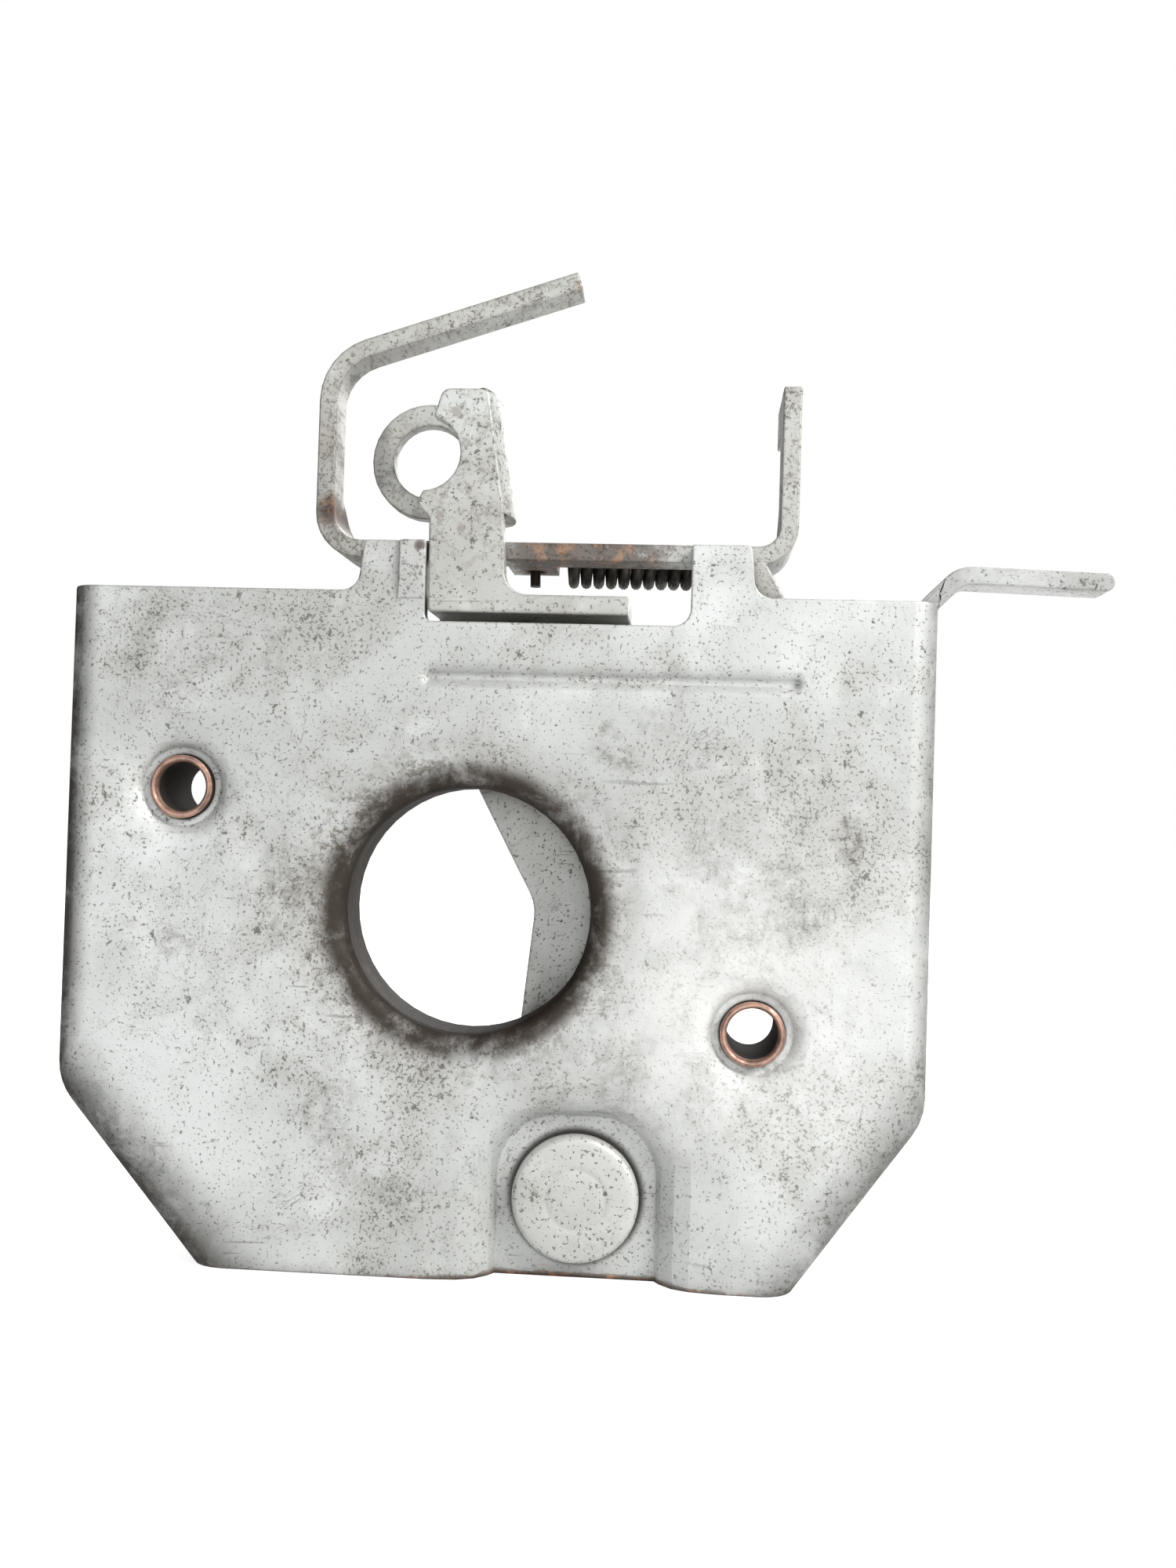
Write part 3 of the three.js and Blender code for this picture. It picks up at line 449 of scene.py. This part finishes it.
def face_stains(t, color, masks):
    """The housing's own grime and painted light: a greasy striker hole, its halo, stains and rust
    along the bottom edge; a painted highlight round the right bush, and painted shade on the hole's
    lip and on the side folds.
    """
    here = t.place()
    split = t.add("ShaderNodeSeparateXYZ", {0: here})
    x, y, z = split.outputs
    from_hole = t.add("ShaderNodeVectorMath", {
        0: t.add("ShaderNodeVectorMath", {0: here, 1: (1, 0, 1)}, operation="MULTIPLY").outputs[0],
    }, operation="LENGTH").outputs["Value"]
    rough_cloud = t.noise(here, 150.0, 6.0, 0.7, 0.5)
    broken = t.step(rough_cloud, 0.36, 0.62)

    swirl = t.add("ShaderNodeTexNoise", {"Vector": here, "Scale": 120.0, "Detail": 5.0,
                                         "Roughness": 0.65}).outputs[1]
    pulled = t.add("ShaderNodeVectorMath", {0: swirl, 1: (0.5, 0.5, 0.5)}, operation="SUBTRACT")
    pulled = t.add("ShaderNodeVectorMath", {0: pulled.outputs[0], 1: (0.030, 0.030, 0.030)},
                   operation="MULTIPLY")
    drifted = t.add("ShaderNodeVectorMath", {0: here, 1: pulled.outputs[0]}, operation="ADD")
    drift = drifted.outputs[0]
    # Painted highlight: a bright pool on the face round the right bush, broken up by noise.
    painted_highlight = t.math("MULTIPLY", spot(t, drift, 0.036, -0.010, 0.002, 0.032),
                   t.step(rough_cloud, 0.30, 0.56, 0.15, 0.62))
    color = t.mix(painted_highlight, color, HIGHLIGHT_ZINC)

    halo = t.step(from_hole, 0.0178, 0.0250, 1.0, 0.0)
    halo_lean = t.step(x, -0.022, 0.012, 1.0, 0.6)
    peppered = t.math("MAXIMUM", t.math("MULTIPLY", broken, 0.55),
                      t.step(t.noise(here, 900.0, 4.0, 0.75), 0.48, 0.60))
    brown_ring = t.math("MULTIPLY", halo, t.math("MULTIPLY", peppered, halo_lean))
    color = t.mix(t.math("MULTIPLY", brown_ring, 0.9), color, HALO_BROWN)
    # Painted shade on the striker hole's rounded lip, broken up by noise.
    lip_shade = t.step(from_hole, 0.0176, 0.0204, 1.0, 0.0)
    color = t.mix(t.math("MULTIPLY", lip_shade, t.step(rough_cloud, 0.30, 0.55, 0.6, 1.0)), color,
                  LIP_SHADE)

    stains = (
        (0.0475, 0.0125, 0.000, 0.0042, 1.0), (-0.027, 0.031, 0.000, 0.005, 0.55),
        (0.020, 0.021, 0.000, 0.0045, 0.8), (-0.017, -0.027, 0.001, 0.010, 0.5),
        (-0.044, -0.034, 0.001, 0.008, 0.8), (-0.044, 0.034, 0.001, 0.006, 0.35),
        (0.043, 0.001, 0.001, 0.010, 0.5), (-0.022, 0.002, 0.002, 0.008, 0.65),
        (-0.014, -0.034, 0.000, 0.006, 0.55), (-0.009, -0.037, 0.000, 0.004, 0.6),
        (0.018, -0.020, 0.001, 0.008, 0.45), (-0.034, -0.041, 0.000, 0.002, 0.9),
        (0.032, 0.010, 0.001, 0.008, 0.35), (-0.036, -0.006, 0.000, 0.003, 0.6),
        (0.026, 0.028, 0.000, 0.005, 0.4), (0.034, -0.001, 0.001, 0.007, 0.4),
    )
    stained = 0.0
    for spot_x, spot_z, inner, outer, strength in stains:
        one = t.math("MULTIPLY", spot(t, drift, spot_x, spot_z, inner, outer), strength)
        stained = t.math("MAXIMUM", stained, one)
    crumbs = t.step(t.noise(here, 620.0, 7.0, 0.78), 0.42, 0.60, 0.15, 1.0)
    color = t.mix(t.math("MULTIPLY", stained, t.math("MULTIPLY", crumbs, 0.8)), color,
                  STAIN_TONE)

    # Grime and painted shade along the bent side folds and chamfers: strongest on the left, away
    # from the key light, and fading towards the back.
    left_fold = t.step(x, -0.0532, -0.0490, 1.0, 0.0)
    right_fold = t.step(x, 0.0558, 0.0592, 0.0, 0.6)
    along_chamfer = t.math("ADD", t.math("MULTIPLY", x, 0.76), t.math("MULTIPLY", z, 0.65))
    left_chamfer = t.step(along_chamfer, -0.0566, -0.0470, 1.0, 0.0)
    leaning = t.math("SUBTRACT", t.math("MULTIPLY", x, 0.834), t.math("MULTIPLY", z, 0.552))
    right_chamfer = t.step(leaning, 0.0552, 0.0626, 0.0, 0.8)
    fold_grime_and_shade = t.math("MAXIMUM", t.math("MAXIMUM", left_fold, right_fold),
                   t.math("MAXIMUM", left_chamfer, right_chamfer))
    fold_grime_and_shade = t.math("MULTIPLY", fold_grime_and_shade, t.step(y, 0.0018, 0.0052, 1.0, 0.22))
    color = t.mix(t.math("MULTIPLY", fold_grime_and_shade, t.step(rough_cloud, 0.32, 0.58, 0.62, 1.0)), color,
                  FOLD_GRIME_AND_SHADE)

    bore = t.math("MULTIPLY", t.step(from_hole, 0.0172, 0.0178, 1.0, 0.0),
                  t.step(y, 0.0007, 0.0022))
    rings = t.noise(t.place(scale=(0.05, 1, 0.05)), 2600.0, 3.0, 0.6)
    smear = t.noise(here, 170.0, 5.0, 0.65)
    grease = t.mix(t.step(rings, 0.40, 0.62), (0.006, 0.004, 0.003, 1), (0.030, 0.021, 0.015, 1))
    grease = t.mix(t.step(smear, 0.58, 0.76), grease, (0.060, 0.045, 0.034, 1))
    color = t.mix(bore, color, grease)
    from_pivot = t.add("ShaderNodeVectorMath", {
        0: t.add("ShaderNodeVectorMath", {0: here, 1: (1, 0, 1)}, operation="MULTIPLY").outputs[0],
        1: (PIVOT_X, 0, PIVOT_Z),
    }, operation="DISTANCE").outputs["Value"]
    under_rivet = t.step(from_pivot, 0.0083, 0.0094, 0.95, 0.0)
    color = t.mix(under_rivet, color, RIVET_SHADOW)

    foot = t.step(z, -0.0472, -0.0458, 1.0, 0.0)
    near_recess = t.step(t.math("ABSOLUTE", t.math("SUBTRACT", x, 0.014)), 0.010, 0.030, 1.0, 0.25)
    masks["rust"] = t.math("MULTIPLY", foot, near_recess)
    tab = spot(t, here, -0.0074, 0.0470, 0.0002, 0.0015)
    masks["rust"] = t.math("MAXIMUM", masks["rust"], t.math("MULTIPLY", tab, 0.8))
    masks["dirt_and_shade"] = t.math("MAXIMUM", bore, fold_grime_and_shade)
    return color, masks


def bracket_stains(t, color, masks):
    """Brown rust on the strip's front edge and in the hook arm's lower bend."""
    here = t.place()
    split = t.add("ShaderNodeSeparateXYZ", {0: here})
    x, _, z = split.outputs
    low_bend = t.math("MULTIPLY", spot(t, here, -0.0200, 0.0520, 0.0002, 0.0042), 0.85)
    along_strip = t.math("MULTIPLY", t.step(x, 0.001, 0.006), t.step(x, 0.020, 0.030, 1.0, 0.0))
    on_strip = t.math("MULTIPLY", t.step(z, 0.0485, 0.0492, 1.0, 0.0), along_strip)
    on_strip = t.math("MULTIPLY", on_strip, 0.72)
    tip = t.step(z, 0.074, 0.083, 0.0, 0.35)
    masks["rust"] = t.math("MAXIMUM", t.math("MAXIMUM", low_bend, on_strip), tip)
    drawn = t.noise(t.place(scale=(1, 0.15, 1)), 1700.0, 3.0, 0.65)
    color = t.mix(t.step(drawn, 0.50, 0.68, 0.0, 0.6), color, (0.12, 0.10, 0.085, 1))
    return color, masks


def lever_stains(t, color, masks):
    """The lever is darker on its cut edges below the shelf and round its eye, and spotted on its
    limb.
    """
    here = t.place()
    split = t.add("ShaderNodeSeparateXYZ", {0: here})
    x, _, z = split.outputs
    facing = t.add("ShaderNodeSeparateXYZ", {0: t.add("ShaderNodeNewGeometry").outputs["Normal"]})
    across = t.math("SUBTRACT", 1.0, t.math("ABSOLUTE", facing.outputs[1]))
    sheared = t.math("MULTIPLY", t.step(across, 0.25, 0.8), t.step(z, 0.034, 0.037, 1.0, 0.0))
    color = t.mix(t.math("MULTIPLY", sheared, 0.85), color, (0.085, 0.068, 0.052, 1))
    limb = t.step(z, 0.040, 0.050)
    freckle = t.step(t.noise(here, 520.0, 5.0, 0.75), 0.50, 0.62)
    color = t.mix(t.math("MULTIPLY", limb, t.math("MULTIPLY", freckle, 0.55)), color,
                  (0.20, 0.18, 0.15, 1))
    ring = t.math("MULTIPLY", t.step(x, -0.0125, -0.0150), t.step(z, 0.052, 0.055))
    color = t.mix(t.math("MULTIPLY", ring, 0.5), color, (0.12, 0.11, 0.115, 1))
    return color, masks


def coppery(name):
    made, t, shader = new_material(name)
    edge = use(t, EDGE_WEAR, Reach=0.0005, Breakup=0.5)
    occluded = use(t, HOLLOW_SHADE, Reach=0.004)
    here = t.place()
    tarnish = t.noise(here, 360.0, 6.0, 0.68)
    turned_marks = t.noise(t.place(scale=(0.2, 1, 0.2)), 2400.0, 2.0)
    color = t.mix(t.step(tarnish, 0.38, 0.66), (0.50, 0.29, 0.215, 1), (0.20, 0.115, 0.085, 1))
    color = t.mix(t.math("MULTIPLY", edge["Worn"], 0.75), color, (0.84, 0.70, 0.66, 1))
    # Painted shade in corners and joints, from ambient occlusion.
    color = t.mix(t.math("MULTIPLY", occluded["Mask"], 0.9), color, (0.030, 0.021, 0.016, 1))
    depth = t.add("ShaderNodeSeparateXYZ", {0: here}).outputs[1]
    # Painted shade deep in each bush's bore, which the light hardly reaches.
    in_bore = t.math("MAXIMUM", spot(t, here, *LEFT_BUSH, 0.00335, 0.00345),
                     spot(t, here, *RIGHT_BUSH, 0.00335, 0.00345))
    in_bore = t.math("MULTIPLY", in_bore, t.step(depth, 0.0013, 0.0026))
    bore_shade = t.mix(tarnish, (0.012, 0.009, 0.007, 1), (0.040, 0.026, 0.018, 1))
    color = t.mix(in_bore, color, bore_shade)
    t.set(shader.inputs["Base Color"], color)
    shader.inputs["Metallic"].default_value = 0.55
    t.set(shader.inputs["Roughness"], t.blend(in_bore, t.step(tarnish, 0.3, 0.7, 0.36, 0.62), 0.9))
    raised_detail(t, shader, t.math("ADD", tarnish, t.math("MULTIPLY", turned_marks, 0.6)), 0.5,
                  0.00006)
    return made


def oily_steel(name, tone, dark, rough, metal=0.7):
    made, t, shader = new_material(name)
    occluded = use(t, HOLLOW_SHADE, Reach=0.003)
    edge = use(t, EDGE_WEAR, Reach=0.0005, Breakup=0.6)
    here = t.place()
    film = t.noise(here, 260.0, 6.0, 0.66, 0.4)
    grain = t.noise(here, 1900.0, 3.0, 0.7)
    color = t.mix(t.step(film, 0.36, 0.62), tone, dark)
    color = t.mix(t.math("MULTIPLY", edge["Worn"], 0.5), color, (0.42, 0.39, 0.35, 1))
    # Painted shade in corners and joints, from ambient occlusion.
    color = t.mix(t.math("MULTIPLY", occluded["Mask"], 0.8), color, (0.018, 0.014, 0.011, 1))
    t.set(shader.inputs["Base Color"], color)
    shader.inputs["Metallic"].default_value = metal
    t.set(shader.inputs["Roughness"], t.step(film, 0.3, 0.7, rough[0], rough[1]))
    raised_detail(t, shader, t.math("ADD", film, t.math("MULTIPLY", grain, 0.5)), 0.6, 0.0001)
    return made


ZINC_FACE = worn_zinc("zinc pressing", (0.68, 0.695, 0.69, 1), (0.50, 0.51, 0.50, 1), 0.7,
                      extra=face_stains)
ZINC_BRACKET = worn_zinc("bracket strip", (0.50, 0.505, 0.485, 1), (0.36, 0.355, 0.33, 1), 0.8,
                         speck=2800.0, rust_on_edges=0.55, extra=bracket_stains)
ZINC_LEVER = worn_zinc("lever pressing", (0.56, 0.575, 0.56, 1), (0.42, 0.42, 0.395, 1), 0.8,
                       speck=2200.0, rust_on_edges=0.6, extra=lever_stains)
ZINC_RIVET = worn_zinc("rivet head", (0.66, 0.67, 0.655, 1), (0.50, 0.505, 0.485, 1), 0.9,
                       speck=2000.0, rust_on_edges=0.3)
COPPER_BUSH = coppery("bush copper")
BARE_STEEL = oily_steel("oily steel", (0.30, 0.29, 0.27, 1), (0.12, 0.105, 0.09, 1), (0.32, 0.55))
SPRING_STEEL = oily_steel("greasy spring", (0.085, 0.075, 0.065, 1), (0.025, 0.020, 0.016, 1),
                          (0.35, 0.65), 0.5)


# ------------------------------------------------------------------ housing pressing

def smooth_fall(value, near, far):
    """1 at near, 0 at far, with no corner between them."""
    share = min(max((far - value) / (far - near), 0.0), 1.0)
    return share * share * (3 - 2 * share)


def drawn_in(x, z):
    """How far the sheet is pulled back near each pressed feature."""
    hole_draw, bush_draw, recess_draw = 0.60 * MM, 0.40 * MM, 0.55 * MM
    recess_half, recess_centre, recess_rise = 10.0 * MM, PIVOT_Z + 2.0 * MM, 7.5 * MM
    depth = hole_draw * smooth_fall(math.hypot(x, z), 18.5 * MM, 25.0 * MM)
    for at_x, at_z in (LEFT_BUSH, RIGHT_BUSH):
        depth += bush_draw * smooth_fall(math.hypot(x - at_x, z - at_z), 6.6 * MM, 11.5 * MM)
    beside = max(abs(x - PIVOT_X) - recess_half, 0.0)
    above = max(z - recess_centre, 0.0)
    reach = math.hypot(beside, max(above - recess_rise, 0.0))
    depth += recess_draw * smooth_fall(reach, 3.0 * MM, 9.5 * MM)
    return depth


def housing():
    piece = pressing_copy("housing_plate")
    rounded(piece, 0.26 * MM, 2)
    lug_room = 23 * MM
    grid = 2.0 * MM
    sliced(piece, (plate_low.x, plate_low.z), (plate_high.x - lug_room, plate_high.z), grid)
    unbowed_edge = 6.0 * MM
    sag = 0.05 * MM
    for vertex in piece.data.vertices:
        x, y, z = vertex.co
        side = min(x - plate_low.x, FACE_RIGHT - x)
        hold = 1.0 - smooth_fall(side, 2.5 * MM, unbowed_edge)
        deep = smooth_fall(y, 2.5 * MM, 8.0 * MM)
        ripple = sag * math.sin(x * 95 + 0.7) * math.sin(z * 120 + 1.9)
        vertex.co.y = y + (drawn_in(x, z) + ripple + sag) * hold * deep
    shaded(piece, 34)
    return finished(piece, "housing_pressing", "housing", "housing_plate", ZINC_FACE)


# ------------------------------------------------------------------ bracket and lever

def bracket():
    piece = pressing_copy("guard_bracket")
    rounded(piece, 0.30 * MM, 3)
    shaded(piece, 34)
    return finished(piece, "guard_strip", "housing", "guard_bracket", ZINC_BRACKET)


def lever():
    piece = pressing_copy("catch_lever")
    rounded(piece, 0.26 * MM, 3)
    shaded(piece, 34)
    return finished(piece, "catch_pressing", "catch", "catch_lever", ZINC_LEVER)


# ------------------------------------------------------------------ bushes, rivet and washers

def bolt_bush(name, node, low, high):
    """A turned bush with its front rim rolled over and its bore eased at both ends."""
    x, z = (low.x + high.x) / 2, (low.z + high.z) / 2
    body = (high.x - low.x) / 2
    bore, neck, shoulder = 3.3 * MM, 4.15 * MM, 3.9 * MM
    ease = 0.22 * MM
    profile = [
        (bore, low.y + ease * 2), (bore + ease, low.y + ease * 0.4), (bore + ease * 1.9, low.y),
        (neck - ease, low.y + ease * 0.3), (neck, low.y + ease * 1.4), (neck, shoulder),
        (body - ease, shoulder), (body, shoulder + ease), (body, high.y - ease * 1.5),
        (body - ease * 1.5, high.y), (bore + ease * 1.5, high.y), (bore, high.y - ease * 1.5),
    ]
    piece = turned(name, profile, x, z, 72)
    shaded(piece, 40)
    return finished(piece, name, "housing", node, COPPER_BUSH)


def rivet():
    """The head has a shallow pressed ring, and the tail is peened into a low dome."""
    head = (rivet_high.x - rivet_low.x) / 2
    front, back = rivet_low.y, rivet_high.y
    under = front + 2.1 * MM
    stack = back - 2.4 * MM
    shank, tail = 4.0 * MM, 6.5 * MM
    ring = 3.9 * MM
    profile = [
        (0, front + 0.16 * MM), (ring - 0.7 * MM, front + 0.14 * MM),
        (ring - 0.25 * MM, front + 0.22 * MM), (ring, front + 0.26 * MM),
        (ring + 0.25 * MM, front + 0.16 * MM), (ring + 0.8 * MM, front + 0.05 * MM),
        (head - 1.5 * MM, front), (head - 0.7 * MM, front + 0.08 * MM),
        (head - 0.25 * MM, front + 0.28 * MM), (head, front + 0.75 * MM), (head, under - 0.15 * MM),
        (head - 0.15 * MM, under), (shank, under), (shank, stack), (tail - 0.3 * MM, stack),
        (tail, stack + 0.35 * MM), (tail - 0.1 * MM, stack + 1.0 * MM),
        (tail - 0.8 * MM, stack + 1.7 * MM), (tail - 2.2 * MM, stack + 2.2 * MM), (0, back),
    ]
    piece = turned("rivet", profile, PIVOT_X, PIVOT_Z, 80)
    shaded(piece, 40)
    return finished(piece, "rivet", "housing", "pivot_rivet", ZINC_RIVET)


def spacer_bush():
    wide = (bush_high.x - bush_low.x) / 2
    bore, journal = 4.05 * MM, 5.5 * MM
    step = bush_high.y - 2.6 * MM
    ease = 0.15 * MM
    profile = [
        (bore + ease, bush_low.y), (wide - ease, bush_low.y), (wide, bush_low.y + ease),
        (wide, step - ease), (wide - ease, step), (journal, step), (journal, bush_high.y - ease),
        (journal - ease, bush_high.y), (bore + ease, bush_high.y), (bore, bush_high.y - ease),
        (bore, bush_low.y + ease),
    ]
    piece = turned("spacer_bush", profile, PIVOT_X, PIVOT_Z)
    shaded(piece, 40)
    return finished(piece, "spacer_bush", "housing", "pivot_bush", BARE_STEEL)


def flat_washer():
    outer = (washer_high.x - washer_low.x) / 2
    bore = 4.05 * MM
    ease = 0.18 * MM
    profile = [
        (bore, washer_low.y + ease), (bore + ease, washer_low.y), (outer - ease, washer_low.y),
        (outer, washer_low.y + ease), (outer, washer_high.y - ease), (outer - ease, washer_high.y),
        (bore + ease, washer_high.y), (bore, washer_high.y - ease),
    ]
    piece = turned("flat_washer", profile, PIVOT_X, PIVOT_Z, 72)
    shaded(piece, 40)
    return finished(piece, "flat_washer", "housing", "pivot_washer", BARE_STEEL)


def crinkle_washer():
    """Thin spring steel, waved three times round so that it presses on both sides."""
    outer = (wave_high.x - wave_low.x) / 2
    bore = 4.2 * MM
    thin = 0.35 * MM
    middle = (wave_low.y + wave_high.y) / 2
    lift = (wave_high.y - wave_low.y - thin) / 2
    ease = 0.06 * MM
    profile = [
        (bore, middle - thin / 2), (outer - ease, middle - thin / 2),
        (outer, middle - thin / 2 + ease), (outer, middle + thin / 2 - ease),
        (outer - ease, middle + thin / 2), (bore, middle + thin / 2),
    ]
    piece = turned("crinkle_washer", profile, PIVOT_X, PIVOT_Z, 96)
    for vertex in piece.data.vertices:
        around = math.atan2(vertex.co.z - PIVOT_Z, vertex.co.x - PIVOT_X)
        vertex.co.y += lift * math.sin(around * 3)
    shaded(piece, 40)
    return finished(piece, "crinkle_washer", "housing", "wave_washer", BARE_STEEL)


# ------------------------------------------------------------------ return spring

def coil_spring():
    """Close coils of round wire between two hooked ends, drawn as one line and given its gauge."""
    wire = 0.70 * MM
    radius = 2.3 * MM
    pitch = 1.7 * MM
    hook_x, depth = 6.4 * MM, 11.8 * MM
    leg_foot = 43.8 * MM
    height = 46.7 * MM
    ear_x, ear_z = 41.3 * MM, 39.4 * MM
    start = hook_x + 4.4 * MM
    turns = 13.5
    points = [
        (hook_x, depth, leg_foot), (hook_x, depth, height + 0.7 * MM),
        (hook_x + 0.35 * MM, depth, height + radius - 0.6 * MM),
        (hook_x + 1.2 * MM, depth, height + radius), (hook_x + 3.0 * MM, depth, height + radius),
    ]
    steps = 20
    for index in range(int(turns * steps) + 1):
        around = index / steps * math.tau
        along = start + index / steps * pitch
        deep, high = depth + radius * math.sin(around), height + radius * math.cos(around)
        points.append((along, deep, high))
    end = start + turns * pitch
    points += [
        (end + 1.4 * MM, depth, height - radius - 0.2 * MM),
        ((end + ear_x) / 2 + 0.6 * MM, 13.4 * MM, (height - radius + ear_z) / 2 + 0.6 * MM),
        (ear_x - 0.9 * MM, 13.4 * MM, ear_z + 1.1 * MM), (ear_x, 12.0 * MM, ear_z),
        (ear_x, 8.6 * MM, ear_z),
    ]
    deselect()
    bpy.ops.curve.primitive_bezier_curve_add()
    line = bpy.context.active_object
    line.data.splines.clear()
    spline = line.data.splines.new("BEZIER")
    spline.bezier_points.add(len(points) - 1)
    for knot, place in zip(spline.bezier_points, points):
        knot.co = place
        knot.handle_left_type = "AUTO"
        knot.handle_right_type = "AUTO"
    line.data.dimensions = "3D"
    line.data.resolution_u = 3
    line.data.bevel_depth = wire
    line.data.bevel_resolution = 3
    line.data.use_fill_caps = True
    bpy.context.view_layer.update()
    bpy.ops.object.convert(target="MESH")
    piece = bpy.context.active_object
    place_applied(piece)
    outwards(piece)
    pick(piece)
    bpy.ops.object.shade_smooth_by_angle(angle=math.radians(50))
    piece.name = "coil_spring"
    piece.data.materials.clear()
    piece.data.materials.append(SPRING_STEEL)
    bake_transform(piece)
    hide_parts("return_spring")
    return piece


housing()
bracket()
lever()
bolt_bush("left_bolt_bush", "mounting_bush_left", left_low, left_high)
bolt_bush("right_bolt_bush", "mounting_bush_right", right_low, right_high)
rivet()
spacer_bush()
flat_washer()
crinkle_washer()
coil_spring()


# ------------------------------------------------------------------ floor, light and camera

def floor():
    width = 8.0
    under = plate_low.z - 0.05 * MM
    glow = 0.80
    deselect()
    bpy.ops.mesh.primitive_plane_add(size=width, location=(0, 0, under))
    ground = bpy.context.active_object
    ground.name = "studio_floor"
    made, t, shader = new_material("pale floor")
    tone = t.noise(t.place(), 3.0, 3.0)
    t.set(shader.inputs["Base Color"], t.mix(tone, (0.86, 0.86, 0.86, 1), (0.90, 0.90, 0.90, 1)))
    shader.inputs["Roughness"].default_value = 0.9
    shader.inputs["Emission Color"].default_value = (1, 1, 1, 1)
    seen = t.add("ShaderNodeLightPath").outputs["Is Camera Ray"]
    t.set(shader.inputs["Emission Strength"], t.math("MULTIPLY", seen, glow))
    ground.data.materials.append(made)


def softbox(name, place, aim, size, power, tint=(1, 1, 1)):
    data = bpy.data.lights.new(name, "AREA")
    data.shape = "DISK"
    data.size = size
    data.energy = power
    data.color = tint
    lamp = bpy.data.objects.new(name, data)
    lamp.location = place
    lamp.rotation_mode = "QUATERNION"
    lamp.rotation_quaternion = (Vector(aim) - Vector(place)).to_track_quat("-Z", "Y")
    bpy.context.scene.collection.objects.link(lamp)


def studio():
    world = bpy.data.worlds.new("studio")
    bpy.context.scene.world = world
    world.use_nodes = True
    t = Tree(world.node_tree)
    out = t.add("ShaderNodeOutputWorld")
    path = t.add("ShaderNodeLightPath").outputs["Is Camera Ray"]
    way = t.add("ShaderNodeSeparateXYZ", {0: t.add("ShaderNodeTexCoord").outputs["Generated"]})
    across = t.step(way.outputs[0], -0.75, 0.55)
    sky = t.mix(across, (0.05, 0.052, 0.055, 1), (0.92, 0.92, 0.92, 1))
    lit = t.add("ShaderNodeBackground", {"Color": sky, "Strength": 0.60})
    seen = t.add("ShaderNodeBackground", {"Color": (1, 1, 1, 1), "Strength": 1.0})
    both = t.add("ShaderNodeMixShader", {0: path, 1: lit.outputs[0], 2: seen.outputs[0]})
    t.set(out.inputs["Surface"], both.outputs[0])
    softbox("key", (0.44, -0.32, 0.42), (0, 0, 0), 0.22, 4.6, (1.0, 0.99, 0.965))
    softbox("front_fill", (-0.20, -0.95, 0.35), (0, 0, 0), 0.8, 3.0, (0.97, 0.985, 1.0))
    softbox("back_fill", (0.25, 0.85, 0.45), (0, 0, 0), 0.8, 5.5)


def camera():
    data = bpy.data.cameras.new("camera")
    data.sensor_width = 36.0
    data.lens = 33.3
    data.clip_start = 0.005
    data.clip_end = 20.0
    stand = (0.02835, -0.185, 0.01325)
    eye = bpy.data.objects.new("camera", data)
    right = Vector((0.99707, 0.07008, 0.03053))
    up = Vector((-0.02909, -0.02156, 0.99934))
    turn = Matrix((right, up, right.cross(up))).transposed()
    eye.matrix_world = Matrix.Translation(stand) @ turn.to_4x4()
    bpy.context.scene.collection.objects.link(eye)
    bpy.context.scene.camera = eye


floor()
studio()
camera()
bpy.context.scene.view_settings.view_transform = "Standard"
